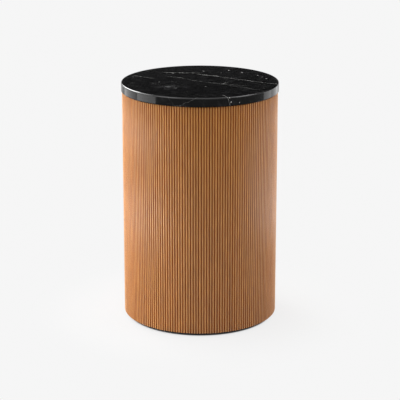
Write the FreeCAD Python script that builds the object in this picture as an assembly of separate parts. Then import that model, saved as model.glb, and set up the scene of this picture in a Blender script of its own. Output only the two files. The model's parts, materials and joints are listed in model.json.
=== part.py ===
"""Round accent table: a polished stone slab set down on a drum that is clad in round-faced timber slats.

The origin is on the floor, on the drum's axis. +Z is up and the front of the table faces -Y.
All lengths are in millimetres and all angles in degrees, counted from +X about +Z.
"""

import FreeCAD
import Part

import math
import os

from FreeCAD import Vector

# Overall form
table_height = 615.0
slab_diameter = 400.0
drum_diameter = 395.0

# Stone slab
slab_thickness = 22.0
slab_edge_radius = 3.0
slab_lower_chamfer = 1.0

# Bumpers that carry the slab, and the dowels that keep it from sliding
bumper_count = 6
bumper_diameter = 12.0
bumper_thickness = 1.5
bumper_edge_chamfer = 0.4
bumper_inset = 22.0
dowel_count = 3
dowel_diameter = 10.0
dowel_depth_in_panel = 12.0
dowel_depth_in_slab = 8.0
dowel_end_chamfer = 1.0
dowel_inset = 77.0
dowel_socket_clearance = 1.0
dowel_socket_spare_depth = 2.0

# Slat cladding: round-faced slats on two canvas-backed sheets
slat_count = 186
slat_thickness = 4.4
slat_edge_thickness = 3.1
slat_gap = 0.6
canvas_thickness = 0.6
canvas_seam_gap = 0.4

# Plywood drum
shell_thickness = 5.0
shell_seam_gap = 0.4
panel_thickness = 18.0
ring_thickness = 18.0
ring_width = 50.0
ring_height_share = 0.5

# Softwood uprights, housed into the panels and notched into the ring
upright_count = 6
upright_width = 40.0
upright_depth = 28.0
upright_edge_chamfer = 2.0
housing_depth = 5.0

# Plinth and floor glides
plinth_thickness = 7.0
plinth_recess = 8.5
plinth_edge_chamfer = 0.8
glide_count = 4
glide_diameter = 26.0
glide_thickness = 5.0
glide_projection = 2.0
glide_edge_chamfer = 1.0
glide_inset = 27.0
glide_first_angle = 45.0

# Tack that holds each glide
tack_head_diameter = 9.0
tack_head_thickness = 1.2
tack_diameter = 2.6
tack_length = 16.0
tack_point_length = 3.0

# Countersunk screws
screw_diameter = 4.5
screw_head_diameter = 8.8
screw_head_height = 2.6
screw_point_length = 5.0
screw_drive_width = 2.4
screw_drive_depth = 1.8
panel_screw_length = 50.0
ring_screw_length = 40.0
plinth_screw_length = 18.0
plinth_screw_count = 6
plinth_screw_inset = 70.0

# Clearances
glue_line = 0.05
panel_fit = 0.2
housing_fit = 0.2
hole_fit = 0.1
hole_spare_depth = 1.5

# Radii, from the slat crests inwards
drum_radius = drum_diameter / 2
slat_back_radius = drum_radius - slat_thickness
canvas_outer_radius = slat_back_radius - glue_line
canvas_inner_radius = canvas_outer_radius - canvas_thickness
shell_outer_radius = canvas_inner_radius - glue_line
shell_inner_radius = shell_outer_radius - shell_thickness
panel_radius = shell_inner_radius - panel_fit
ring_inner_radius = panel_radius - ring_width
upright_inner_radius = panel_radius - upright_depth
upright_screw_radius = panel_radius - upright_depth / 2
plinth_radius = drum_radius - plinth_recess

# Levels, from the floor upwards
plinth_bottom = glide_projection
drum_bottom = plinth_bottom + plinth_thickness
base_panel_top = drum_bottom + panel_thickness
slab_bottom = table_height - slab_thickness
drum_top = slab_bottom - bumper_thickness
top_panel_bottom = drum_top - panel_thickness
drum_height = drum_top - drum_bottom
upright_bottom = base_panel_top - housing_depth
upright_top = top_panel_bottom + housing_depth
upright_height = upright_top - upright_bottom
ring_middle = drum_bottom + ring_height_share * drum_height
ring_bottom = ring_middle - ring_thickness / 2

# Angles
front_angle = 270.0
slat_pitch_angle = 360.0 / slat_count
front_slat_count = slat_count // 2
slat_sheets = {
    "front": (front_slat_count, front_angle - front_slat_count * slat_pitch_angle / 2),
    "back": (slat_count - front_slat_count, front_angle + front_slat_count * slat_pitch_angle / 2),
}
shell_halves = {"right": front_angle, "left": front_angle + 180.0}
upright_pitch_angle = 360.0 / upright_count
upright_angles = [front_angle + i * upright_pitch_angle for i in range(upright_count)]
bumper_angles = [front_angle + (i + 0.5) * 360.0 / bumper_count for i in range(bumper_count)]
dowel_angles = [front_angle + (i + 0.5) * 360.0 / dowel_count for i in range(dowel_count)]
glide_angles = [glide_first_angle + i * 360.0 / glide_count for i in range(glide_count)]
plinth_screw_angles = [front_angle + (i + 0.5) * 360.0 / plinth_screw_count for i in range(plinth_screw_count)]

AXIS = Vector(0, 0, 1)
CENTRE = Vector(0, 0, 0)


def turned(shape, angle):
    """A copy of the shape, turned about the drum's axis."""
    copy = shape.copy()
    copy.rotate(CENTRE, AXIS, angle)
    return copy


def raised(shape, height):
    """A copy of the shape, moved up."""
    copy = shape.copy()
    copy.translate(Vector(0, 0, height))
    return copy


def ring_of(shape, radius, angles):
    """Copies of a shape that is built on the axis, set on a circle at the given angles."""
    moved = shape.copy()
    moved.translate(Vector(radius, 0, 0))
    return [turned(moved, angle) for angle in angles]


def revolved(outline, angle=360.0):
    """A solid of revolution from (radius, height) points."""
    points = [Vector(radius, 0, height) for radius, height in outline]
    face = Part.Face(Part.makePolygon(points + points[:1]))
    return face.revolve(CENTRE, AXIS, angle)


def tube_sector(inner_radius, outer_radius, bottom, height, start_angle, sweep):
    """Part of a round wall, from its start angle through its sweep."""
    top = bottom + height
    outline = [(inner_radius, bottom), (outer_radius, bottom), (outer_radius, top), (inner_radius, top)]
    return turned(revolved(outline, sweep), start_angle)


def circle_edges(shape, radius, height):
    """The round edges of a shape that lie on one circle about the axis."""
    found = []
    for edge in shape.Edges:
        box = edge.BoundBox
        flat = box.ZLength < 1e-6 and abs(box.ZMin - height) < 1e-6
        if flat and isinstance(edge.Curve, Part.Circle) and abs(edge.Curve.Radius - radius) < 1e-6:
            found.append(edge)
    return found


def screw(length):
    """A countersunk screw, head up, with its head's face at height 0 and a square drive."""
    head_radius = screw_head_diameter / 2
    shank_radius = screw_diameter / 2
    outline = [
        (0, 0),
        (head_radius, 0),
        (shank_radius, -screw_head_height),
        (shank_radius, screw_point_length - length),
        (0, -length),
    ]
    drive = Part.makeBox(screw_drive_width, screw_drive_width, screw_drive_depth)
    drive.translate(Vector(-screw_drive_width / 2, -screw_drive_width / 2, -screw_drive_depth))
    return revolved(outline).cut(drive)


def screw_hole(length):
    """The hole that a screw fills, countersunk at height 0 and open above it."""
    head_radius = screw_head_diameter / 2 + hole_fit
    shank_radius = screw_diameter / 2 + hole_fit
    outline = [
        (0, hole_fit),
        (head_radius, hole_fit),
        (head_radius, 0),
        (shank_radius, -screw_head_height),
        (shank_radius, -length - hole_spare_depth),
        (0, -length - hole_spare_depth),
    ]
    return revolved(outline)


def pointing_up(shape):
    """A fastener or hole turned over, so that its head faces down."""
    copy = shape.copy()
    copy.rotate(CENTRE, Vector(1, 0, 0), 180)
    return copy


def pointing_out(shape):
    """A fastener or hole laid on its side, so that its head faces the drum's axis."""
    copy = shape.copy()
    copy.rotate(CENTRE, Vector(0, 1, 0), -90)
    return copy


def top_screw_places(shape):
    """The shape at each screw that goes down through the top panel into an upright."""
    return ring_of(raised(shape, drum_top), upright_screw_radius, upright_angles)


def base_screw_places(shape):
    """The shape at each screw that goes up through the base panel into an upright."""
    return ring_of(raised(pointing_up(shape), drum_bottom), upright_screw_radius, upright_angles)


def ring_screw_places(shape):
    """The shape at each screw that goes outwards through the ring into an upright."""
    return ring_of(raised(pointing_out(shape), ring_middle), ring_inner_radius, upright_angles)


def plinth_screw_places(shape):
    """The shape at each screw that goes up through the plinth into the base panel."""
    radius = plinth_radius - plinth_screw_inset
    return ring_of(raised(pointing_up(shape), plinth_bottom), radius, plinth_screw_angles)


def upright_block(clearance, bottom, height):
    """The space of one upright on +X, grown sideways and inwards by a clearance."""
    width = upright_width + 2 * clearance
    inner = upright_inner_radius - clearance
    block = Part.makeBox(2 * upright_depth, width, height)
    block.translate(Vector(inner, -width / 2, bottom))
    return block


def upright_spaces(bottom, height):
    """The cuts that let every upright into a panel or a ring."""
    block = upright_block(housing_fit, bottom, height)
    return [turned(block, angle) for angle in upright_angles]


def make_slab():
    """The stone top: eased edges, and blind sockets for the dowels underneath."""
    radius = slab_diameter / 2
    slab = Part.makeCylinder(radius, slab_thickness, Vector(0, 0, slab_bottom))
    slab = slab.makeFillet(slab_edge_radius, circle_edges(slab, radius, table_height))
    slab = slab.makeChamfer(slab_lower_chamfer, circle_edges(slab, radius, slab_bottom))
    socket_radius = dowel_diameter / 2 + dowel_socket_clearance
    socket = Part.makeCylinder(socket_radius, dowel_depth_in_slab + dowel_socket_spare_depth)
    sockets = ring_of(raised(socket, slab_bottom), panel_radius - dowel_inset, dowel_angles)
    return slab.cut(sockets)


def make_bumpers():
    """Soft pads between the top panel and the slab."""
    radius = bumper_diameter / 2
    shoulder = bumper_thickness - bumper_edge_chamfer
    outline = [
        (0, 0),
        (radius, 0),
        (radius, shoulder),
        (radius - bumper_edge_chamfer, bumper_thickness),
        (0, bumper_thickness),
    ]
    pad = raised(revolved(outline), drum_top)
    return Part.makeCompound(ring_of(pad, panel_radius - bumper_inset, bumper_angles))


def make_dowels():
    """Hardwood dowels, glued into the top panel, that stand up into the slab's sockets."""
    radius = dowel_diameter / 2
    end_radius = radius - dowel_end_chamfer
    length = dowel_depth_in_panel + bumper_thickness + dowel_depth_in_slab
    outline = [
        (0, 0),
        (end_radius, 0),
        (radius, dowel_end_chamfer),
        (radius, length - dowel_end_chamfer),
        (end_radius, length),
        (0, length),
    ]
    dowel = raised(revolved(outline), drum_top - dowel_depth_in_panel)
    return Part.makeCompound(ring_of(dowel, panel_radius - dowel_inset, dowel_angles))


def make_slats(count, start_angle):
    """One sheet's slats: flat backs, straight sides and arched faces."""
    half_width = slat_back_radius * math.tan(math.radians(slat_pitch_angle / 2)) - slat_gap / 2
    shoulder_radius = slat_back_radius + slat_edge_thickness
    back_right = Vector(slat_back_radius, half_width, drum_bottom)
    back_left = Vector(slat_back_radius, -half_width, drum_bottom)
    shoulder_left = Vector(shoulder_radius, -half_width, drum_bottom)
    shoulder_right = Vector(shoulder_radius, half_width, drum_bottom)
    crest = Vector(drum_radius, 0, drum_bottom)
    edges = [
        Part.makeLine(back_right, back_left),
        Part.makeLine(back_left, shoulder_left),
        Part.Arc(shoulder_left, crest, shoulder_right).toShape(),
        Part.makeLine(shoulder_right, back_right),
    ]
    slat = Part.Face(Part.Wire(edges)).extrude(Vector(0, 0, drum_height))
    angles = [start_angle + (i + 0.5) * slat_pitch_angle for i in range(count)]
    return Part.makeCompound([turned(slat, angle) for angle in angles])


def make_canvas(count, start_angle):
    """The cloth that one sheet's slats are glued to."""
    seam_angle = math.degrees(canvas_seam_gap / canvas_outer_radius)
    sweep = count * slat_pitch_angle - seam_angle
    start = start_angle + seam_angle / 2
    return tube_sector(canvas_inner_radius, canvas_outer_radius, drum_bottom, drum_height, start, sweep)


def make_shell_half(start_angle):
    """Half of the bent plywood wall; its two seams lie on uprights."""
    seam_angle = math.degrees(shell_seam_gap / shell_outer_radius)
    start = start_angle + seam_angle / 2
    sweep = 180.0 - seam_angle
    return tube_sector(shell_inner_radius, shell_outer_radius, drum_bottom, drum_height, start, sweep)


def make_top_panel():
    """The plywood disc that closes the drum, housed underneath for the uprights."""
    panel = Part.makeCylinder(panel_radius, panel_thickness, Vector(0, 0, top_panel_bottom))
    dowel_hole = Part.makeCylinder(dowel_diameter / 2 + hole_fit, dowel_depth_in_panel)
    dowel_hole = raised(dowel_hole, drum_top - dowel_depth_in_panel)
    cuts = upright_spaces(top_panel_bottom, housing_depth)
    cuts += top_screw_places(screw_hole(panel_screw_length))
    cuts += ring_of(dowel_hole, panel_radius - dowel_inset, dowel_angles)
    return panel.cut(cuts)


def make_base_panel():
    """The plywood disc at the foot of the drum, housed on top for the uprights."""
    panel = Part.makeCylinder(panel_radius, panel_thickness, Vector(0, 0, drum_bottom))
    cuts = upright_spaces(upright_bottom, housing_depth)
    cuts += base_screw_places(screw_hole(panel_screw_length))
    cuts += plinth_screw_places(screw_hole(plinth_screw_length))
    cuts += tack_places(tack_hole())
    return panel.cut(cuts)


def make_ring():
    """The plywood ring that keeps the drum round at mid height, notched for the uprights."""
    ring = Part.makeCylinder(panel_radius, ring_thickness, Vector(0, 0, ring_bottom))
    hole = Part.makeCylinder(ring_inner_radius, ring_thickness, Vector(0, 0, ring_bottom))
    cuts = upright_spaces(ring_bottom, ring_thickness)
    cuts += ring_screw_places(screw_hole(ring_screw_length))
    return ring.cut([hole] + cuts)


def make_upright():
    """One upright on +X: outer face planed to the drum's curve, inner edges eased, holes for its screws."""
    blank = upright_block(0, upright_bottom, upright_height)
    drum_space = Part.makeCylinder(panel_radius, upright_height, Vector(0, 0, upright_bottom))
    upright = blank.common(drum_space)
    inner_edges = []
    for edge in upright.Edges:
        box = edge.BoundBox
        if box.ZLength > upright_height / 2 and box.XMax < upright_inner_radius + upright_depth / 2:
            inner_edges.append(edge)
    upright = upright.makeChamfer(upright_edge_chamfer, inner_edges)
    screw_radius = upright_screw_radius
    down_hole = raised(screw_hole(panel_screw_length), drum_top)
    up_hole = raised(pointing_up(screw_hole(panel_screw_length)), drum_bottom)
    out_hole = raised(pointing_out(screw_hole(ring_screw_length)), ring_middle)
    cuts = ring_of(down_hole, screw_radius, [0]) + ring_of(up_hole, screw_radius, [0])
    cuts += ring_of(out_hole, ring_inner_radius, [0])
    return upright.cut(cuts)


def glide_places(shape):
    """The shape at each floor glide, built with the floor at height 0."""
    return ring_of(shape, plinth_radius - glide_inset, glide_angles)


def tack_places(shape):
    """The shape at each tack, whose head lies in the top of its glide."""
    return glide_places(raised(shape, glide_thickness))


def make_tack():
    """One tack, point up, with the top of its head at height 0."""
    shank_radius = tack_diameter / 2
    head_radius = tack_head_diameter / 2
    outline = [
        (0, -tack_head_thickness),
        (head_radius, -tack_head_thickness),
        (head_radius, 0),
        (shank_radius, 0),
        (shank_radius, tack_length - tack_point_length),
        (0, tack_length),
    ]
    return revolved(outline)


def tack_hole():
    """The hole that a tack's shank fills."""
    return Part.makeCylinder(tack_diameter / 2 + hole_fit, tack_length + hole_spare_depth)


def make_glide():
    """One nylon glide: a flat foot with a bevelled rim, and a seat for its tack's head."""
    radius = glide_diameter / 2
    glide = Part.makeCylinder(radius, glide_thickness)
    glide = glide.makeChamfer(glide_edge_chamfer, circle_edges(glide, radius, 0))
    head_seat = Part.makeCylinder(tack_head_diameter / 2 + hole_fit, tack_head_thickness)
    return glide.cut(raised(head_seat, glide_thickness - tack_head_thickness))


def make_plinth():
    """The dark foot plate, set back under the slats, with pockets for the glides."""
    plinth = Part.makeCylinder(plinth_radius, plinth_thickness, Vector(0, 0, plinth_bottom))
    plinth = plinth.makeChamfer(plinth_edge_chamfer, circle_edges(plinth, plinth_radius, plinth_bottom))
    pocket_depth = glide_thickness - glide_projection
    pocket = Part.makeCylinder(glide_diameter / 2 + hole_fit, pocket_depth, Vector(0, 0, plinth_bottom))
    cuts = glide_places(pocket) + tack_places(tack_hole())
    cuts += plinth_screw_places(screw_hole(plinth_screw_length))
    return plinth.cut(cuts)


def make_parts():
    """Every piece of the table, by name."""
    parts = {
        "stone_slab": make_slab(),
        "slab_bumpers": make_bumpers(),
        "slab_dowels": make_dowels(),
        "top_panel": make_top_panel(),
        "stiffening_ring": make_ring(),
        "base_panel": make_base_panel(),
        "plinth": make_plinth(),
        "top_panel_screws": Part.makeCompound(top_screw_places(screw(panel_screw_length))),
        "ring_screws": Part.makeCompound(ring_screw_places(screw(ring_screw_length))),
        "base_panel_screws": Part.makeCompound(base_screw_places(screw(panel_screw_length))),
        "plinth_screws": Part.makeCompound(plinth_screw_places(screw(plinth_screw_length))),
        "glide_tacks": Part.makeCompound(tack_places(make_tack())),
    }
    for side, start_angle in shell_halves.items():
        parts["shell_" + side] = make_shell_half(start_angle)
    for side, (count, start_angle) in slat_sheets.items():
        parts["canvas_" + side] = make_canvas(count, start_angle)
        parts["slats_" + side] = make_slats(count, start_angle)
    upright = make_upright()
    for number, angle in enumerate(upright_angles, 1):
        parts["upright_%d" % number] = turned(upright, angle)
    for number, glide in enumerate(glide_places(make_glide()), 1):
        parts["floor_glide_%d" % number] = glide
    return parts


os.makedirs("parts", exist_ok=True)
for part_name, part_shape in make_parts().items():
    part_shape.exportStep(os.path.join("parts", part_name + ".step"))
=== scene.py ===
import json
import math
import random

import bmesh
import bpy
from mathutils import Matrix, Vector


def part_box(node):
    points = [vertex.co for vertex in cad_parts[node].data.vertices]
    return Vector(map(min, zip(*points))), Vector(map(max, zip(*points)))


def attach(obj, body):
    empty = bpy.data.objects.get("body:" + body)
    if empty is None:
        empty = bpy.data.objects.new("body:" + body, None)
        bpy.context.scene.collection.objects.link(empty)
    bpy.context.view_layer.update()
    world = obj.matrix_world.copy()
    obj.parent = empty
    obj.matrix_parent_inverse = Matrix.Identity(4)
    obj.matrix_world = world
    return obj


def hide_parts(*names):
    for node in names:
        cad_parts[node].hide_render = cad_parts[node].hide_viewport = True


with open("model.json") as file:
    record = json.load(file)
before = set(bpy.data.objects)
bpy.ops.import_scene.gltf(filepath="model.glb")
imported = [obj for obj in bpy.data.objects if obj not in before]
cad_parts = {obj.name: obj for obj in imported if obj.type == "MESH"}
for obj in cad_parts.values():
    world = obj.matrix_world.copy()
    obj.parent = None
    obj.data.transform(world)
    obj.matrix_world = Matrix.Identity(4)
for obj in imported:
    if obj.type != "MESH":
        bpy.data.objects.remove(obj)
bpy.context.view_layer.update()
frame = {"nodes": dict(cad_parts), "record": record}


def rgb(red, green, blue):
    """A colour in linear light, as the shader sockets take it."""
    return (red, green, blue, 1.0)


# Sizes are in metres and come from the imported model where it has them.
slab_low, slab_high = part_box("stone_slab")
slab_radius = min(slab_high[0], slab_high[1], -slab_low[0], -slab_low[1])
slab_top = slab_high[2]
slab_bottom = slab_low[2]
slab_segments = 288
slab_edge_radius = 0.003
slab_edge_steps = 6
slab_lower_chamfer = 0.001
# Narrow bands beside the slab's rounded and chamfered edges keep the shading of its flats even.
slab_support = 0.0003
socket_radius = 0.006
socket_depth = 0.010
socket_segments = 32
dowel_low, dowel_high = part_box("slab_dowels")
dowel_radius = 0.005
dowel_circle = (dowel_high[0] - dowel_low[0] - 2 * dowel_radius) / math.sqrt(3)
dowel_angles = (330, 90, 210)

front_angle = -math.pi / 2
slat_low, slat_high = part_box("slats_front")
slat_bottom = slat_low[2]
slat_top = slat_high[2]
slat_count = 186
slat_pitch = 2 * math.pi / slat_count
slat_thickness = 0.0044
slat_edge_thickness = 0.0031
slat_gap = 0.0006
slat_crest_radius = -slat_low[1]
slat_back_radius = slat_crest_radius - slat_thickness
slat_shoulder_radius = slat_back_radius + slat_edge_thickness
slat_half_width = slat_back_radius * math.tan(slat_pitch / 2) - slat_gap / 2
slat_arc_steps = 14
# A slat's outline goes along its back and one side before the arc, whose first and last steps are groove.
slat_sides_before_arc = 2
slat_groove_steps = 2
first_crest_face = slat_sides_before_arc + slat_groove_steps
last_crest_face = slat_sides_before_arc + slat_arc_steps - slat_groove_steps - 1
slat_end_easing = 0.0004
slat_end_corner = 0.3 * slat_end_easing
slat_depth_spread = 0.00012
slat_turn_spread = math.radians(0.35)
slat_sharp_angle = math.radians(50)
slat_seed = 7

# Gloss of the slab's flat faces, upright edge and rounded arris, and of the slats' crests and grooves
stone_gloss = {"black_marble": 0.02, "marble_edge": 0.10, "marble_arris": 0.8}
slat_gloss = {"slat_timber": 0.82, "slat_groove": 0.06}
# Places of these finishes in a piece's list of materials; the slab's flat faces have the first one.
edge_index = 1
arris_index = 2
crest_index = 0
groove_index = 1

# Stone tones and roughness
stone_black = rgb(0.0036, 0.0036, 0.0038)
stone_grey = rgb(0.019, 0.019, 0.020)
stone_cloud = rgb(0.085, 0.085, 0.086)
# Painted highlight: a paler tone for the upper arris, standing in for the light caught along the rim
painted_arris_highlight = rgb(0.014, 0.014, 0.0145)
stone_white = rgb(0.78, 0.77, 0.74)
stone_roughness = (0.07, 0.12)
vein_added_roughness = 0.10
# Sum of radius and height at the middle of the rounded edge, where the painted highlight on the arris is full
arris_level = slab_radius + slab_top - 2 * slab_edge_radius * (1 - math.sqrt(0.5))
arris_blend = 0.0006

# Noise scale and reach of the veins' long bends, of their fine wander and of the specks' ragged outlines
vein_bend = (14.0, 0.022)
vein_wander = (110.0, 0.0035)
speck_wander = (420.0, 0.0036)
# Veins of the slab, drawn as lines on its top: start and end, width, strength and slant through the stone
stone_veins = [
    {"start": (-0.008, 0.082), "end": (0.044, 0.055), "width": 0.0012, "strength": 0.80, "tilt": 0.4},
    {"start": (0.030, 0.062), "end": (0.205, -0.045), "width": 0.0009, "strength": 0.70, "tilt": 0.4},
    {"start": (-0.092, 0.107), "end": (-0.004, 0.101), "width": 0.0012, "strength": 0.50, "tilt": 0.2},
    {"start": (-0.082, 0.055), "end": (-0.050, 0.036), "width": 0.0009, "strength": 0.60, "tilt": -0.3},
    {"start": (-0.060, 0.040), "end": (0.140, -0.102), "width": 0.0008, "strength": 0.24, "tilt": -0.3},
    {"start": (-0.025, 0.012), "end": (0.110, -0.060), "width": 0.0008, "strength": 0.28, "tilt": 0.3},
    {"start": (0.050, -0.040), "end": (0.068, -0.016), "width": 0.0018, "strength": 0.28, "tilt": 0.6},
    {"start": (-0.165, 0.068), "end": (-0.120, 0.036), "width": 0.0016, "strength": 0.22, "tilt": 0.2},
    {"start": (0.054, -0.165), "end": (0.082, -0.205), "width": 0.0009, "strength": 0.50, "tilt": 0.2},
    {"start": (-0.009, -0.194), "end": (-0.012, -0.222), "width": 0.0014, "strength": 0.15, "tilt": -2.0},
]
vein_fade = 0.020
vein_core_share = 0.3
# Fine networks of veins: cell scale, line width, strength and the level of noise from which they show
stone_networks = [
    (9.0, 0.006, 0.13, 0.50),
    (20.0, 0.009, 0.07, 0.54),
]
network_turn = math.radians(30)
network_stretch = (0.7, 4.5, 2.0)
network_patch_scale = 1.1
network_patch_fade = 0.14
# White specks in the slab: place in plan, depth under the top, radius and strength
stone_specks = [
    (0.009, 0.123, 0.0, 0.0030, 0.55),
    (0.075, 0.135, 0.0, 0.0028, 0.60),
    (0.055, 0.100, 0.0, 0.0022, 0.25),
    (0.109, 0.105, 0.0, 0.0030, 0.50),
    (0.148, 0.068, 0.0, 0.0026, 0.40),
    (0.159, 0.048, 0.0, 0.0022, 0.35),
    (0.169, 0.028, 0.0, 0.0030, 0.45),
    (0.158, -0.085, 0.0, 0.0024, 0.22),
    (0.118, -0.155, 0.0, 0.0022, 0.25),
    (0.014, -0.066, 0.0, 0.0022, 0.25),
    (-0.103, -0.012, 0.0, 0.0034, 0.14),
    (-0.070, 0.100, 0.0, 0.0032, 0.40),
    (-0.053, 0.102, 0.0, 0.0030, 0.36),
    (-0.045, 0.101, 0.0, 0.0026, 0.40),
    (-0.034, 0.099, 0.0, 0.0024, 0.30),
    (-0.019, 0.097, 0.0, 0.0022, 0.25),
    (0.0715, -0.1868, 0.002, 0.0018, 0.70),
    (0.0755, -0.1853, 0.013, 0.0024, 0.85),
    (0.0960, -0.1755, 0.016, 0.0018, 0.50),
]
speck_core_share = 0.4
# A pale patch of cloud near the front left of the slab
cloud_centre = (-0.078, -0.076)
cloud_radius = 0.034
cloud_core_share = 0.3

# Slat tones, their spread from slat to slat and along a slat, roughness and depth of grain
slat_dark = rgb(0.420, 0.155, 0.019)
slat_light = rgb(0.636, 0.275, 0.047)
slat_pore = rgb(0.150, 0.046, 0.010)
# Painted shade: a dark tint multiplied into the grooves between slats; the crests keep their own tone
slat_groove_shade = rgb(0.52, 0.215, 0.030)
slat_crest_unshaded = rgb(1.0, 1.0, 1.0)
slat_end_dark = rgb(0.15, 0.062, 0.022)
slat_end_light = rgb(0.26, 0.115, 0.044)
slat_tone_spread = (0.965, 1.035)
slat_drift_spread = (0.95, 1.05)
slat_roughness = (0.40, 0.32)
groove_added_roughness = 0.5
slat_grain_depth = 0.00012
slat_grain_offset = 7.0
# How far each pattern of the grain is drawn out along the slat
streak_stretch = (1.0, 1.0, 0.035)
pore_stretch = (1.0, 1.0, 0.022)
drift_stretch = (1.0, 1.0, 0.5)
# Radii between which the painted shade in the grooves gives way to the unshaded crests
slat_shade_full_radius = slat_shoulder_radius + 0.0002
slat_shade_free_radius = slat_crest_radius - 0.0001

# Tones of the other materials, the layers of the two plywoods and the canvas's thread
plywood_light = rgb(0.66, 0.48, 0.29)
plywood_dark = rgb(0.47, 0.31, 0.165)
plywood_layer = 0.0018
bent_plywood_light = rgb(0.60, 0.42, 0.24)
bent_plywood_dark = rgb(0.40, 0.25, 0.125)
bent_plywood_layer = 0.00125
# Painted shade: the canvas is near black so that the gaps between the slats read dark
canvas_shaded_dark = rgb(0.030, 0.018, 0.010)
canvas_shaded_light = rgb(0.062, 0.038, 0.022)
canvas_thread = 0.0007
paint_black = rgb(0.008, 0.008, 0.008)
paint_scuffed = rgb(0.020, 0.019, 0.018)
nylon_dark = rgb(0.022, 0.022, 0.024)
nylon_scuffed = rgb(0.060, 0.060, 0.062)
steel_dark = rgb(0.50, 0.50, 0.49)
steel_light = rgb(0.66, 0.65, 0.61)
silicone_dark = rgb(0.78, 0.80, 0.80)
silicone_light = rgb(0.90, 0.91, 0.91)
# Planed timbers: light tone, dark tone and scale of the grain
softwood = (rgb(0.68, 0.50, 0.30), rgb(0.50, 0.33, 0.17), 300.0)
beech = (rgb(0.66, 0.46, 0.29), rgb(0.52, 0.34, 0.20), 900.0)

# Floor and backdrop: the floor keeps a faint shadow near the table and matches the backdrop further off.
pale_tone = 0.92
floor_tone = 0.76
floor_own_share = 0.86
floor_shade_start = 0.184
floor_shade_end = 0.190
floor_fade_start = 0.21
floor_fade_end = 0.45
floor_half_size = 60.0
floor_drop = 0.0002
backdrop_top = math.sin(math.radians(8.5))
backdrop_end = math.sin(math.radians(10.5))

# Lamps: angles, in degrees, go round the table from the camera's side, with the right side positive.
dome_strength = 0.50
dome_start = math.sin(math.radians(24))
dome_full = math.sin(math.radians(52))
strip_distance = 0.80
# Upright strips close to the table: name, angle, lowest and highest level, width, radiance
strips = [
    ("left_low", -76, 0.01, 0.20, 0.48, 6.3),
    ("left_high", -76, 0.40, 0.52, 0.48, 7.1),
    ("left_back_low", -112, 0.01, 0.20, 0.50, 1.1),
    ("left_back_high", -112, 0.40, 0.52, 0.50, 2.5),
    ("right_low", 104, 0.01, 0.20, 0.28, 6.4),
    ("right_high", 104, 0.20, 0.52, 0.28, 3.4),
    ("right_back_high", 128, 0.40, 0.52, 0.36, 1.7),
]
# Softboxes further off: name, angle, distance, level, level aimed at, width, height, radiance
softboxes = [
    ("key_left", -54, 2.40, 2.60, 0.40, 1.80, 1.80, 2.5),
    ("key_right", 75, 2.40, 2.60, 0.40, 1.80, 1.80, 3.6),
    ("rim_front", -92, 2.00, 1.81, 0.60, 0.90, 0.78, 5.6),
    ("rim_left", -128, 2.00, 1.81, 0.60, 1.70, 0.78, 8.4),
    ("rim_back", -148, 2.00, 1.65, 0.60, 1.00, 1.07, 6.0),
    ("overhead", 0, 0.00, 2.80, 0.60, 1.80, 1.80, 0.75),
]

# Camera, fitted to the photograph's outline of the slab and drum
image_size = 400
camera_focal_pixels = 1572.0
camera_distance = 3.8977
camera_height = 1.4424
camera_pitch = math.radians(16.315)
camera_reach = 200.0
sensor_width = 36.0


class Shader:
    """A node tree with short ways to add nodes; an input is a value or another node's output."""

    def __init__(self, tree):
        self.tree = tree

    def add(self, kind, inputs=(), **settings):
        node = self.tree.nodes.new("ShaderNode" + kind)
        for name, value in settings.items():
            setattr(node, name, value)
        for key, value in dict(inputs).items():
            self.set(node, key, value)
        return node

    def set(self, node, key, value):
        if isinstance(value, bpy.types.NodeSocket):
            self.tree.links.new(value, node.inputs[key])
        else:
            node.inputs[key].default_value = value

    def math(self, operation, first, second=0.0):
        return self.add("Math", {0: first, 1: second}, operation=operation).outputs[0]

    def vector(self, operation, first, second=(0, 0, 0)):
        return self.add("VectorMath", {0: first, 1: second}, operation=operation)

    def dot(self, first, second):
        return self.vector("DOT_PRODUCT", first, second).outputs["Value"]

    def distance(self, coords, place):
        return self.vector("DISTANCE", coords, place).outputs["Value"]

    def length(self, coords):
        return self.vector("LENGTH", coords).outputs["Value"]

    def ramp(self, value, low, high, to_low=0.0, to_high=1.0):
        """A smooth step from one level to another as a value goes from low to high."""
        inputs = {"Value": value, "From Min": low, "From Max": high, "To Min": to_low, "To Max": to_high}
        return self.add("MapRange", inputs, interpolation_type="SMOOTHSTEP").outputs["Result"]

    def noise(self, coords, scale, detail=3.0, roughness=0.5, distortion=0.0, output="Fac"):
        inputs = {"Vector": coords, "Scale": scale, "Detail": detail, "Roughness": roughness}
        node = self.add("TexNoise", inputs)
        self.set(node, "Distortion", distortion)
        return node.outputs[output]

    def mix(self, factor, first, second, blend="MIX"):
        node = self.add("Mix", data_type="RGBA", blend_type=blend)
        self.set(node, 0, factor)
        self.set(node, 6, first)
        self.set(node, 7, second)
        return node.outputs[2]

    def stretched(self, coords, scales):
        return self.vector("MULTIPLY", coords, scales).outputs[0]

    def warped(self, coords, scale, amount):
        """Coordinates pushed about by noise, so that what is drawn on them wanders."""
        noise = self.noise(coords, scale, detail=2.0, output="Color")
        centred = self.vector("SUBTRACT", noise, (0.5, 0.5, 0.5)).outputs[0]
        offset = self.stretched(centred, (amount, amount, amount))
        return self.vector("ADD", coords, offset).outputs[0]

    def bump(self, height, distance, strength):
        return self.add("Bump", {"Height": height, "Distance": distance, "Strength": strength}).outputs[0]

    def looked_at(self):
        """1 for rays of sight: the camera's own and those off gloss or through something clear; else 0."""
        path = self.add("LightPath").outputs
        seen = self.math("MAXIMUM", path["Is Camera Ray"], path["Is Glossy Ray"])
        return self.math("MAXIMUM", seen, path["Is Transmission Ray"])


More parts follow.
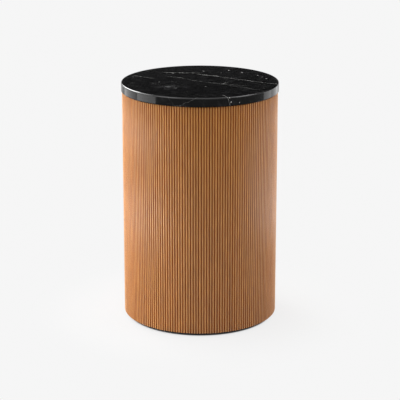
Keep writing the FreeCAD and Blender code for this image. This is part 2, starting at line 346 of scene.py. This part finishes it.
class Finish(Shader):
    """A new material whose colour, roughness and bump are worked out from the piece's own coordinates."""

    def __init__(self, name, **constants):
        self.material = bpy.data.materials.new(name)
        self.material.use_nodes = True
        super().__init__(self.material.node_tree)
        self.surface = self.tree.nodes["Principled BSDF"]
        self.coords = self.add("TexCoord").outputs["Object"]
        for key, value in constants.items():
            self.surface.inputs[key.replace("_", " ")].default_value = value

    def place(self):
        """The X, Y and Z of a point."""
        return self.add("SeparateXYZ", {0: self.coords}).outputs

    def angle(self, place):
        """The angle of a point about the drum's axis."""
        return self.math("ARCTAN2", place["Y"], place["X"])

    def axis_distance(self):
        """How far a point is from the drum's axis."""
        return self.length(self.stretched(self.coords, (1, 1, 0)))

    def level(self, low, high):
        """1 on faces that look up or down and 0 on upright ones, with a blend between two slopes."""
        facing = self.add("SeparateXYZ", {0: self.add("TexCoord").outputs["Normal"]}).outputs["Z"]
        return self.ramp(self.math("ABSOLUTE", facing), low, high)

    def finish(self, colour, roughness, normal=None):
        self.set(self.surface, "Base Color", colour)
        self.set(self.surface, "Roughness", roughness)
        if normal is not None:
            self.set(self.surface, "Normal", normal)
        return self.material


def vein_mask(shader, coords, grain, vein):
    """One vein: a thin sheet through the stone, fading at both ends and uneven along its length."""
    start = Vector(vein["start"])
    end = Vector(vein["end"])
    length = (end - start).length
    along_axis = (end - start).normalized()
    across_axis = Vector((-along_axis.y, along_axis.x))
    along = shader.dot(coords, (along_axis.x, along_axis.y, 0))
    along = shader.math("SUBTRACT", along, along_axis.dot(start))
    tilt_offset = vein["tilt"] * slab_top
    across = shader.dot(coords, (across_axis.x, across_axis.y, vein["tilt"]))
    across = shader.math("SUBTRACT", across, across_axis.dot(start) + tilt_offset)
    core = vein_core_share * vein["width"]
    line = shader.ramp(shader.math("ABSOLUTE", across), core, vein["width"], 1.0, 0.0)
    entry = shader.ramp(along, -vein_fade / 2, vein_fade / 2)
    leave = shader.ramp(along, length - vein_fade / 2, length + vein_fade / 2, 1.0, 0.0)
    body = shader.math("MULTIPLY", shader.math("MULTIPLY", line, entry), leave)
    return shader.math("MULTIPLY", body, shader.math("MULTIPLY", grain, vein["strength"]))


def stone_white_mask(shader, coords, ragged):
    """Where the stone is white: long veins, a fine broken network that runs the same way, and specks."""
    beads = shader.noise(shader.coords, scale=170.0, detail=3.0, roughness=0.6)
    beads = shader.ramp(beads, 0.36, 0.62, 0.15, 1.0)
    white = 0.0
    for vein in stone_veins:
        white = shader.math("MAXIMUM", white, vein_mask(shader, coords, beads, vein))
    turned = shader.add("VectorRotate", {"Vector": coords, "Angle": network_turn}, rotation_type="Z_AXIS")
    lengthwise = shader.stretched(turned.outputs[0], network_stretch)
    for scale, width, strength, shown_from in stone_networks:
        inputs = {"Vector": lengthwise, "Scale": scale, "Randomness": 1.0}
        cells = shader.add("TexVoronoi", inputs, feature="DISTANCE_TO_EDGE").outputs["Distance"]
        line = shader.ramp(cells, 0.0, width, strength, 0.0)
        patches = shader.noise(shader.coords, scale * network_patch_scale, detail=2.0)
        shown = shader.ramp(patches, shown_from, shown_from + network_patch_fade)
        white = shader.math("MAXIMUM", white, shader.math("MULTIPLY", line, shown))
    for x, y, depth, radius, strength in stone_specks:
        gap = shader.distance(ragged, (x, y, slab_top - depth))
        speck = shader.ramp(gap, speck_core_share * radius, radius, strength, 0.0)
        white = shader.math("MAXIMUM", white, speck)
    return white


def stone_finish(name, gloss):
    """Polished black marble with white veins and specks on a ground of grey clouds."""
    shader = Finish(name, Specular_IOR_Level=gloss, IOR=1.5)
    bent = shader.warped(shader.coords, *vein_bend)
    coords = shader.warped(bent, *vein_wander)
    ragged = shader.warped(shader.coords, *speck_wander)
    clouds = shader.ramp(shader.noise(bent, scale=34.0, detail=6.0, roughness=0.68), 0.50, 0.78)
    ground = shader.mix(clouds, stone_black, stone_grey)
    gap = shader.distance(ragged, (*cloud_centre, slab_top))
    patch = shader.ramp(gap, cloud_core_share * cloud_radius, cloud_radius, 1.0, 0.0)
    wisps = shader.ramp(shader.noise(coords, scale=90.0, detail=4.0, roughness=0.6), 0.45, 0.70)
    ground = shader.mix(shader.math("MULTIPLY", patch, wisps), ground, stone_cloud)
    # The upper arris is painted a little paler: a painted highlight along the rim.
    reach = shader.math("ADD", shader.axis_distance(), shader.place()["Z"])
    rim = shader.ramp(reach, arris_level - arris_blend, arris_level)
    ground = shader.mix(rim, ground, painted_arris_highlight)
    white = stone_white_mask(shader, coords, ragged)
    colour = shader.mix(white, ground, stone_white)
    polish = shader.noise(shader.coords, scale=60.0, detail=4.0)
    roughness = shader.ramp(polish, 0.2, 0.8, *stone_roughness)
    roughness = shader.math("ADD", roughness, shader.math("MULTIPLY", white, vein_added_roughness))
    return shader.finish(colour, roughness)


def slat_finish(name, gloss):
    """Stained timber: every slat has its own tone and grain, with painted shade darkening the grooves."""
    shader = Finish(name, Specular_IOR_Level=gloss)
    place = shader.place()
    turns = shader.math("DIVIDE", shader.math("SUBTRACT", shader.angle(place), front_angle), slat_pitch)
    number = shader.math("FLOOR", shader.math("ADD", turns, 0.5))
    radius = shader.axis_distance()
    off_centre = shader.math("SUBTRACT", turns, number)
    sideways = shader.math("MULTIPLY", off_centre, slat_pitch * slat_crest_radius)
    # Each slat takes its grain from a place of its own in the noise.
    chance = shader.add("TexWhiteNoise", {"W": number}, noise_dimensions="1D").outputs
    offset = shader.stretched(chance["Color"], (slat_grain_offset, slat_grain_offset, slat_grain_offset))
    plank = shader.add("CombineXYZ", {"X": sideways, "Y": radius, "Z": place["Z"]}).outputs[0]
    plank = shader.vector("ADD", plank, offset).outputs[0]
    streaks = shader.noise(shader.stretched(plank, streak_stretch), scale=620.0, detail=4.0, roughness=0.55)
    pores = shader.noise(shader.stretched(plank, pore_stretch), scale=2600.0, detail=2.0, roughness=0.6)
    drift = shader.noise(shader.stretched(plank, drift_stretch), scale=9.0, detail=2.0)
    tone = shader.mix(shader.ramp(streaks, 0.25, 0.75), slat_dark, slat_light)
    pore_depth = shader.ramp(pores, 0.60, 0.74, 0.0, 0.55)
    tone = shader.mix(pore_depth, tone, slat_pore)
    slat_tone = shader.ramp(chance["Value"], 0.0, 1.0, *slat_tone_spread)
    slat_tone = shader.math("MULTIPLY", slat_tone, shader.ramp(drift, 0.3, 0.7, *slat_drift_spread))
    grey = shader.add("CombineColor", {"Red": slat_tone, "Green": slat_tone, "Blue": slat_tone}).outputs[0]
    # Painted shade in the grooves, fading to none on the crests
    crown = shader.ramp(radius, slat_shade_full_radius, slat_shade_free_radius)
    shade_tint = shader.mix(crown, slat_groove_shade, slat_crest_unshaded)
    side = shader.mix(1.0, shader.mix(1.0, tone, grey, "MULTIPLY"), shade_tint, "MULTIPLY")
    end = shader.level(low=0.6, high=0.9)
    rings = shader.ramp(shader.noise(plank, scale=1500.0, detail=3.0), 0.35, 0.65)
    colour = shader.mix(end, side, shader.mix(rings, slat_end_dark, slat_end_light))
    sheen = shader.ramp(streaks, 0.2, 0.8, *slat_roughness)
    dullness = shader.math("MAXIMUM", end, shader.math("SUBTRACT", 1.0, crown))
    roughness = shader.math("ADD", sheen, shader.math("MULTIPLY", dullness, groove_added_roughness))
    relief = shader.math("SUBTRACT", streaks, shader.math("MULTIPLY", pore_depth, 0.8))
    return shader.finish(colour, roughness, shader.bump(relief, slat_grain_depth, strength=0.3))


def plywood_finish():
    """Raw plywood: long face grain on the flats and thin cross-laid layers on the edges."""
    shader = Finish("plywood", Specular_IOR_Level=0.3)
    warp = shader.warped(shader.coords, scale=6.0, amount=0.05)
    lengthwise = shader.stretched(warp, (1.0, 0.06, 1.0))
    grain = shader.noise(lengthwise, scale=160.0, detail=5.0, roughness=0.6)
    face = shader.mix(shader.ramp(grain, 0.3, 0.7), plywood_light, plywood_dark)
    fleck = shader.noise(shader.stretched(shader.coords, (1.0, 0.12, 1.0)), scale=900.0, detail=2.0)
    face = shader.mix(shader.ramp(fleck, 0.62, 0.72, 0.0, 0.35), face, plywood_dark)
    layer = shader.math("FLOOR", shader.math("DIVIDE", shader.place()["Z"], plywood_layer))
    even = shader.math("PINGPONG", layer, 1.0)
    rough_edge = shader.noise(shader.coords, scale=700.0, detail=2.0)
    edge = shader.mix(shader.ramp(rough_edge, 0.3, 0.7), plywood_light, plywood_dark)
    edge = shader.mix(shader.math("MULTIPLY", even, 0.55), edge, plywood_dark)
    colour = shader.mix(shader.level(low=0.5, high=0.8), edge, face)
    roughness = shader.ramp(grain, 0.2, 0.8, 0.55, 0.72)
    return shader.finish(colour, roughness, shader.bump(grain, distance=0.0002, strength=0.4))


def bent_plywood_finish():
    """Bending plywood: upright grain on the faces and thin rings of layers on the top and bottom edges."""
    shader = Finish("bent_plywood", Specular_IOR_Level=0.3)
    upright = shader.stretched(shader.coords, (1.0, 1.0, 0.05))
    grain = shader.noise(upright, scale=240.0, detail=4.0, roughness=0.6)
    face = shader.mix(shader.ramp(grain, 0.3, 0.7), bent_plywood_light, bent_plywood_dark)
    layer = shader.math("FLOOR", shader.math("DIVIDE", shader.axis_distance(), bent_plywood_layer))
    even = shader.math("PINGPONG", layer, 1.0)
    edge = shader.mix(even, bent_plywood_light, bent_plywood_dark)
    colour = shader.mix(shader.level(low=0.5, high=0.8), face, edge)
    roughness = shader.ramp(grain, 0.2, 0.8, 0.58, 0.72)
    return shader.finish(colour, roughness, shader.bump(grain, distance=0.0002, strength=0.4))


def planed_finish(name, light, dark, scale):
    """Planed solid timber with upright grain."""
    shader = Finish(name, Specular_IOR_Level=0.3)
    upright = shader.stretched(shader.coords, (1.0, 1.0, 0.06))
    warp = shader.warped(upright, scale=20.0, amount=0.01)
    grain = shader.noise(warp, scale, detail=4.0, roughness=0.55, distortion=0.6)
    colour = shader.mix(shader.ramp(grain, 0.3, 0.7), light, dark)
    roughness = shader.ramp(grain, 0.2, 0.8, 0.48, 0.62)
    return shader.finish(colour, roughness, shader.bump(grain, distance=0.00015, strength=0.4))


def canvas_finish():
    """Plain woven cotton, with threads upright and around the drum; near black, as painted shade in the gaps.
    """
    shader = Finish("backing_canvas", Specular_IOR_Level=0.2, Sheen_Weight=0.2)
    place = shader.place()
    around = shader.math("MULTIPLY", shader.angle(place), slat_back_radius * math.pi / canvas_thread)
    upward = shader.math("MULTIPLY", place["Z"], math.pi / canvas_thread)
    weave = shader.math("MULTIPLY", shader.math("SINE", around), shader.math("SINE", upward))
    slub = shader.noise(shader.coords, scale=900.0, detail=2.0)
    height = shader.math("ADD", shader.ramp(weave, -1.0, 1.0), slub)
    colour = shader.mix(shader.ramp(height, 0.4, 1.5), canvas_shaded_dark, canvas_shaded_light)
    roughness = shader.ramp(slub, 0.2, 0.8, 0.8, 0.95)
    return shader.finish(colour, roughness, shader.bump(height, distance=0.0003, strength=0.6))


def paint_finish():
    """Matt black paint with a faint roller texture."""
    shader = Finish("plinth_black", Specular_IOR_Level=0.35)
    orange_peel = shader.noise(shader.coords, scale=900.0, detail=2.0)
    scuffs = shader.noise(shader.coords, scale=30.0, detail=5.0, roughness=0.7)
    colour = shader.mix(shader.ramp(scuffs, 0.45, 0.8), paint_black, paint_scuffed)
    roughness = shader.ramp(scuffs, 0.3, 0.8, 0.5, 0.66)
    return shader.finish(colour, roughness, shader.bump(orange_peel, distance=0.0001, strength=0.3))


def nylon_finish():
    """Dark moulded nylon with a fine spark texture and light scuffing."""
    shader = Finish("glide_nylon", Specular_IOR_Level=0.4)
    spark = shader.noise(shader.coords, scale=3500.0, detail=2.0)
    scuffs = shader.noise(shader.coords, scale=160.0, detail=5.0, roughness=0.7)
    colour = shader.mix(shader.ramp(scuffs, 0.5, 0.8), nylon_dark, nylon_scuffed)
    roughness = shader.ramp(scuffs, 0.3, 0.8, 0.42, 0.60)
    return shader.finish(colour, roughness, shader.bump(spark, distance=0.00005, strength=0.4))


def steel_finish():
    """Zinc-plated steel with a slightly uneven passivated tone."""
    shader = Finish("zinc_steel", Metallic=1.0)
    cloud = shader.noise(shader.coords, scale=420.0, detail=4.0, roughness=0.6)
    colour = shader.mix(shader.ramp(cloud, 0.3, 0.7), steel_dark, steel_light)
    roughness = shader.ramp(cloud, 0.2, 0.8, 0.30, 0.44)
    return shader.finish(colour, roughness, shader.bump(cloud, distance=0.00005, strength=0.2))


def silicone_finish():
    """Clear silicone pads, milky where they are thick."""
    shader = Finish("bumper_silicone", Transmission_Weight=0.55, IOR=1.41, Specular_IOR_Level=0.45)
    haze = shader.noise(shader.coords, scale=500.0, detail=3.0)
    colour = shader.mix(shader.ramp(haze, 0.3, 0.7), silicone_dark, silicone_light)
    return shader.finish(colour, shader.ramp(haze, 0.2, 0.8, 0.22, 0.34))


def mesh_piece(name, mesh, body, slot, materials, *nodes):
    """Puts a finished mesh into the scene in place of the model's own nodes."""
    piece = bpy.data.objects.new(name, mesh)
    bpy.context.collection.objects.link(piece)
    for material in materials:
        piece.data.materials.append(material)
    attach(piece, body)
    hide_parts(*nodes)


def ring(mesh, radius, height, segments, centre=(0.0, 0.0)):
    """A circle of vertices."""
    step = 2 * math.pi / segments
    vertices = []
    for i in range(segments):
        x = centre[0] + radius * math.cos(i * step)
        y = centre[1] + radius * math.sin(i * step)
        vertices.append(mesh.verts.new((x, y, height)))
    return vertices


def bridge(mesh, lower, upper, smooth=True):
    """A closed band of faces between two rings, facing outwards when upper is above lower."""
    count = len(lower)
    faces = []
    for i in range(count):
        j = (i + 1) % count
        face = mesh.faces.new((lower[i], lower[j], upper[j], upper[i]))
        face.smooth = smooth
        faces.append(face)
    return faces


def loop_edges(mesh, vertices):
    """The edges that join a ring's neighbouring vertices."""
    return [mesh.edges.get((a, b)) for a, b in zip(vertices, vertices[1:] + vertices[:1])]


def finished_mesh(mesh, name):
    """Turns a mesh under construction into mesh data, with its faces looking outwards."""
    bmesh.ops.recalc_face_normals(mesh, faces=mesh.faces)
    data = bpy.data.meshes.new(name)
    mesh.to_mesh(data)
    mesh.free()
    return data


def slab_profile():
    """The slab's edge from the underside up to the top, as (radius, height)."""
    profile = [
        (slab_radius - slab_lower_chamfer - slab_support, slab_bottom),
        (slab_radius - slab_lower_chamfer, slab_bottom),
        (slab_radius, slab_bottom + slab_lower_chamfer),
        (slab_radius, slab_bottom + slab_lower_chamfer + slab_support),
        (slab_radius, slab_top - slab_edge_radius - slab_support),
    ]
    for i in range(slab_edge_steps + 1):
        turn = math.pi / 2 * i / slab_edge_steps
        radius = slab_radius - slab_edge_radius * (1 - math.cos(turn))
        profile.append((radius, slab_top - slab_edge_radius * (1 - math.sin(turn))))
    profile.append((slab_radius - slab_edge_radius - slab_support, slab_top))
    return profile


def make_slab():
    """The stone top: a rounded upper edge, a small lower chamfer and three blind sockets underneath."""
    mesh = bmesh.new()
    rings = [ring(mesh, radius, height, slab_segments) for radius, height in slab_profile()]
    for lower, upper in zip(rings, rings[1:]):
        rounded = slab_top > lower[0].co.z > slab_top - slab_edge_radius - slab_support
        for face in bridge(mesh, lower, upper):
            face.material_index = arris_index if rounded else edge_index
    mesh.faces.new(rings[-1])
    underside = loop_edges(mesh, rings[0])
    for angle in dowel_angles:
        turn = math.radians(angle)
        centre = (dowel_circle * math.cos(turn), dowel_circle * math.sin(turn))
        mouth = ring(mesh, socket_radius, slab_bottom, socket_segments, centre)
        blind = ring(mesh, socket_radius, slab_bottom + socket_depth, socket_segments, centre)
        bridge(mesh, blind, mouth, smooth=False)
        mesh.faces.new(list(reversed(blind)))
        underside += loop_edges(mesh, mouth)
    bmesh.ops.triangle_fill(mesh, use_beauty=True, edges=underside)
    return finished_mesh(mesh, "slab")


def slat_outline(inset, depth):
    """A slat's outline, as (distance from the axis, sideways), pulled in by inset and its face by depth."""
    half = slat_half_width - inset
    crown = slat_thickness - slat_edge_thickness
    arc_radius = (slat_half_width ** 2 + crown ** 2) / (2 * crown)
    arc_centre = slat_crest_radius - arc_radius
    half_angle = math.asin(slat_half_width / arc_radius)
    outline = [(slat_back_radius + inset, half), (slat_back_radius + inset, -half)]
    for i in range(slat_arc_steps + 1):
        turn = half_angle * (2 * i / slat_arc_steps - 1)
        radius = arc_radius - inset
        outline.append((arc_centre + radius * math.cos(turn) - depth, radius * math.sin(turn)))
    return outline


def add_slat(mesh, angle, depth, twist):
    """One slat on the drum at an angle, with eased ends."""
    levels = [
        (slat_bottom, slat_end_easing),
        (slat_bottom + slat_end_corner, slat_end_corner),
        (slat_bottom + slat_end_easing, 0.0),
        (slat_top - slat_end_easing, 0.0),
        (slat_top - slat_end_corner, slat_end_corner),
        (slat_top, slat_end_easing),
    ]
    outward = Vector((math.cos(angle), math.sin(angle), 0))
    sideways = Vector((-math.sin(angle), math.cos(angle), 0))
    rings = []
    for height, inset in levels:
        corners = []
        for reach, side in slat_outline(inset, depth):
            place = outward * (reach + twist * side - abs(twist) * slat_half_width) + sideways * side
            corners.append(mesh.verts.new((place.x, place.y, height)))
        rings.append(corners)
    for lower, upper in zip(rings, rings[1:]):
        for i, face in enumerate(bridge(mesh, lower, upper)):
            on_crest = first_crest_face <= i <= last_crest_face
            face.material_index = crest_index if on_crest else groove_index
    for end in (list(reversed(rings[0])), rings[-1]):
        mesh.faces.new(end).material_index = groove_index


def make_slats(name, first, count):
    """A sheet of slats, each with a slight depth and turn of its own."""
    chance = random.Random(slat_seed + first)
    mesh = bmesh.new()
    for i in range(first, first + count):
        depth = chance.uniform(0.0, slat_depth_spread)
        twist = chance.uniform(-slat_turn_spread, slat_turn_spread)
        add_slat(mesh, front_angle + i * slat_pitch, depth, twist)
    data = finished_mesh(mesh, name)
    data.set_sharp_from_angle(angle=slat_sharp_angle)
    return data


def floor_finish():
    """A wide pale floor that keeps a soft shadow."""
    material = bpy.data.materials.new("pale_floor")
    material.use_nodes = True
    material.node_tree.nodes.clear()
    shader = Shader(material.node_tree)
    distance = shader.length(shader.add("TexCoord").outputs["Object"])
    near = shader.ramp(distance, floor_shade_start, floor_shade_end, 0.0, floor_own_share)
    far = shader.ramp(distance, floor_fade_start, floor_fade_end, 0.0, 1.0 - floor_own_share)
    share = shader.math("MULTIPLY", shader.looked_at(), shader.math("ADD", near, far))
    lit = shader.add("BsdfDiffuse", {"Color": rgb(floor_tone, floor_tone, floor_tone)}).outputs[0]
    own = shader.add("Emission", {"Color": rgb(pale_tone, pale_tone, pale_tone), "Strength": 1.0}).outputs[0]
    mixed = shader.add("MixShader", {0: share, 1: lit, 2: own}).outputs[0]
    shader.add("OutputMaterial", {"Surface": mixed})
    return material


def make_floor():
    """One wide square, just under the glides."""
    corners = [(-1, -1), (1, -1), (1, 1), (-1, 1)]
    vertices = [(x * floor_half_size, y * floor_half_size, -floor_drop) for x, y in corners]
    mesh = bpy.data.meshes.new("floor")
    mesh.from_pydata(vertices, [], [(0, 1, 2, 3)])
    mesh.materials.append(floor_finish())
    floor = bpy.data.objects.new("floor", mesh)
    bpy.context.collection.objects.link(floor)


def make_world():
    """An overhead dome of soft light; low down, a pale backdrop that only what looks at it sees."""
    world = bpy.data.worlds.new("studio")
    world.use_nodes = True
    world.node_tree.nodes.clear()
    shader = Shader(world.node_tree)
    direction = shader.add("TexCoord").outputs["Generated"]
    height = shader.add("SeparateXYZ", {0: direction}).outputs["Z"]
    dome = shader.ramp(height, dome_start, dome_full, 0.0, dome_strength)
    backdrop = shader.ramp(height, backdrop_top, backdrop_end, pale_tone, 0.0)
    strength = shader.math("ADD", dome, shader.math("MULTIPLY", shader.looked_at(), backdrop))
    light = shader.add("Background", {"Color": rgb(1, 1, 1), "Strength": strength}).outputs[0]
    shader.add("OutputWorld", {"Surface": light})
    bpy.context.scene.world = world


def softbox(name, angle, distance, level, aim_level, width, height, radiance):
    """A soft rectangular lamp that faces a point on the drum's axis; its power follows from its radiance."""
    light = bpy.data.lights.new(name, "AREA")
    light.shape = "RECTANGLE"
    light.size = width
    light.size_y = height
    light.energy = radiance * math.pi * width * height
    lamp = bpy.data.objects.new(name, light)
    turn = math.radians(angle)
    lamp.location = (distance * math.sin(turn), -distance * math.cos(turn), level)
    aim = Vector((0.0, 0.0, aim_level)) - lamp.location
    lamp.rotation_euler = aim.to_track_quat("-Z", "Y").to_euler()
    lamp.visible_camera = False
    bpy.context.collection.objects.link(lamp)


def make_lights():
    """Strips close to both sides, then high keys left and right, three lamps for the rim and one overhead."""
    for name, angle, low, high, width, radiance in strips:
        middle = (low + high) / 2
        softbox(name, angle, strip_distance, middle, middle, width, high - low, radiance)
    for lamp in softboxes:
        softbox(*lamp)


def make_camera():
    """The photograph's view: straight at the front, looking down a little."""
    camera = bpy.data.objects.new("camera", bpy.data.cameras.new("camera"))
    camera.data.sensor_width = sensor_width
    camera.data.sensor_fit = "HORIZONTAL"
    camera.data.lens = camera_focal_pixels * sensor_width / image_size
    camera.data.clip_end = camera_reach
    camera.location = (0.0, -camera_distance, camera_height)
    camera.rotation_euler = (math.pi / 2 - camera_pitch, 0.0, 0.0)
    bpy.context.collection.objects.link(camera)
    bpy.context.scene.camera = camera


stone = [stone_finish(name, gloss) for name, gloss in stone_gloss.items()]
mesh_piece("slab", make_slab(), "top", "black_marble", stone, "stone_slab")

timber = [slat_finish(name, gloss) for name, gloss in slat_gloss.items()]
half_count = slat_count // 2
sheets = {"front": -(half_count // 2), "back": half_count - half_count // 2}
for side, first in sheets.items():
    slats = make_slats("slats_" + side, first, half_count)
    mesh_piece("slat_sheet_" + side, slats, "drum", "slat_timber", timber, "slats_" + side)

finishes = {
    "plywood": plywood_finish(),
    "bent_plywood": bent_plywood_finish(),
    "upright_softwood": planed_finish("upright_softwood", *softwood),
    "dowel_beech": planed_finish("dowel_beech", *beech),
    "backing_canvas": canvas_finish(),
    "plinth_black": paint_finish(),
    "glide_nylon": nylon_finish(),
    "zinc_steel": steel_finish(),
    "bumper_silicone": silicone_finish(),
}
for part in frame["record"]["subparts"]:
    finish = finishes.get(part["material_slot"])
    if finish is not None:
        for material_slot in frame["nodes"][part["node"]].material_slots:
            material_slot.material = finish

make_floor()
make_world()
make_lights()
make_camera()
bpy.context.scene.view_settings.view_transform = "Standard"
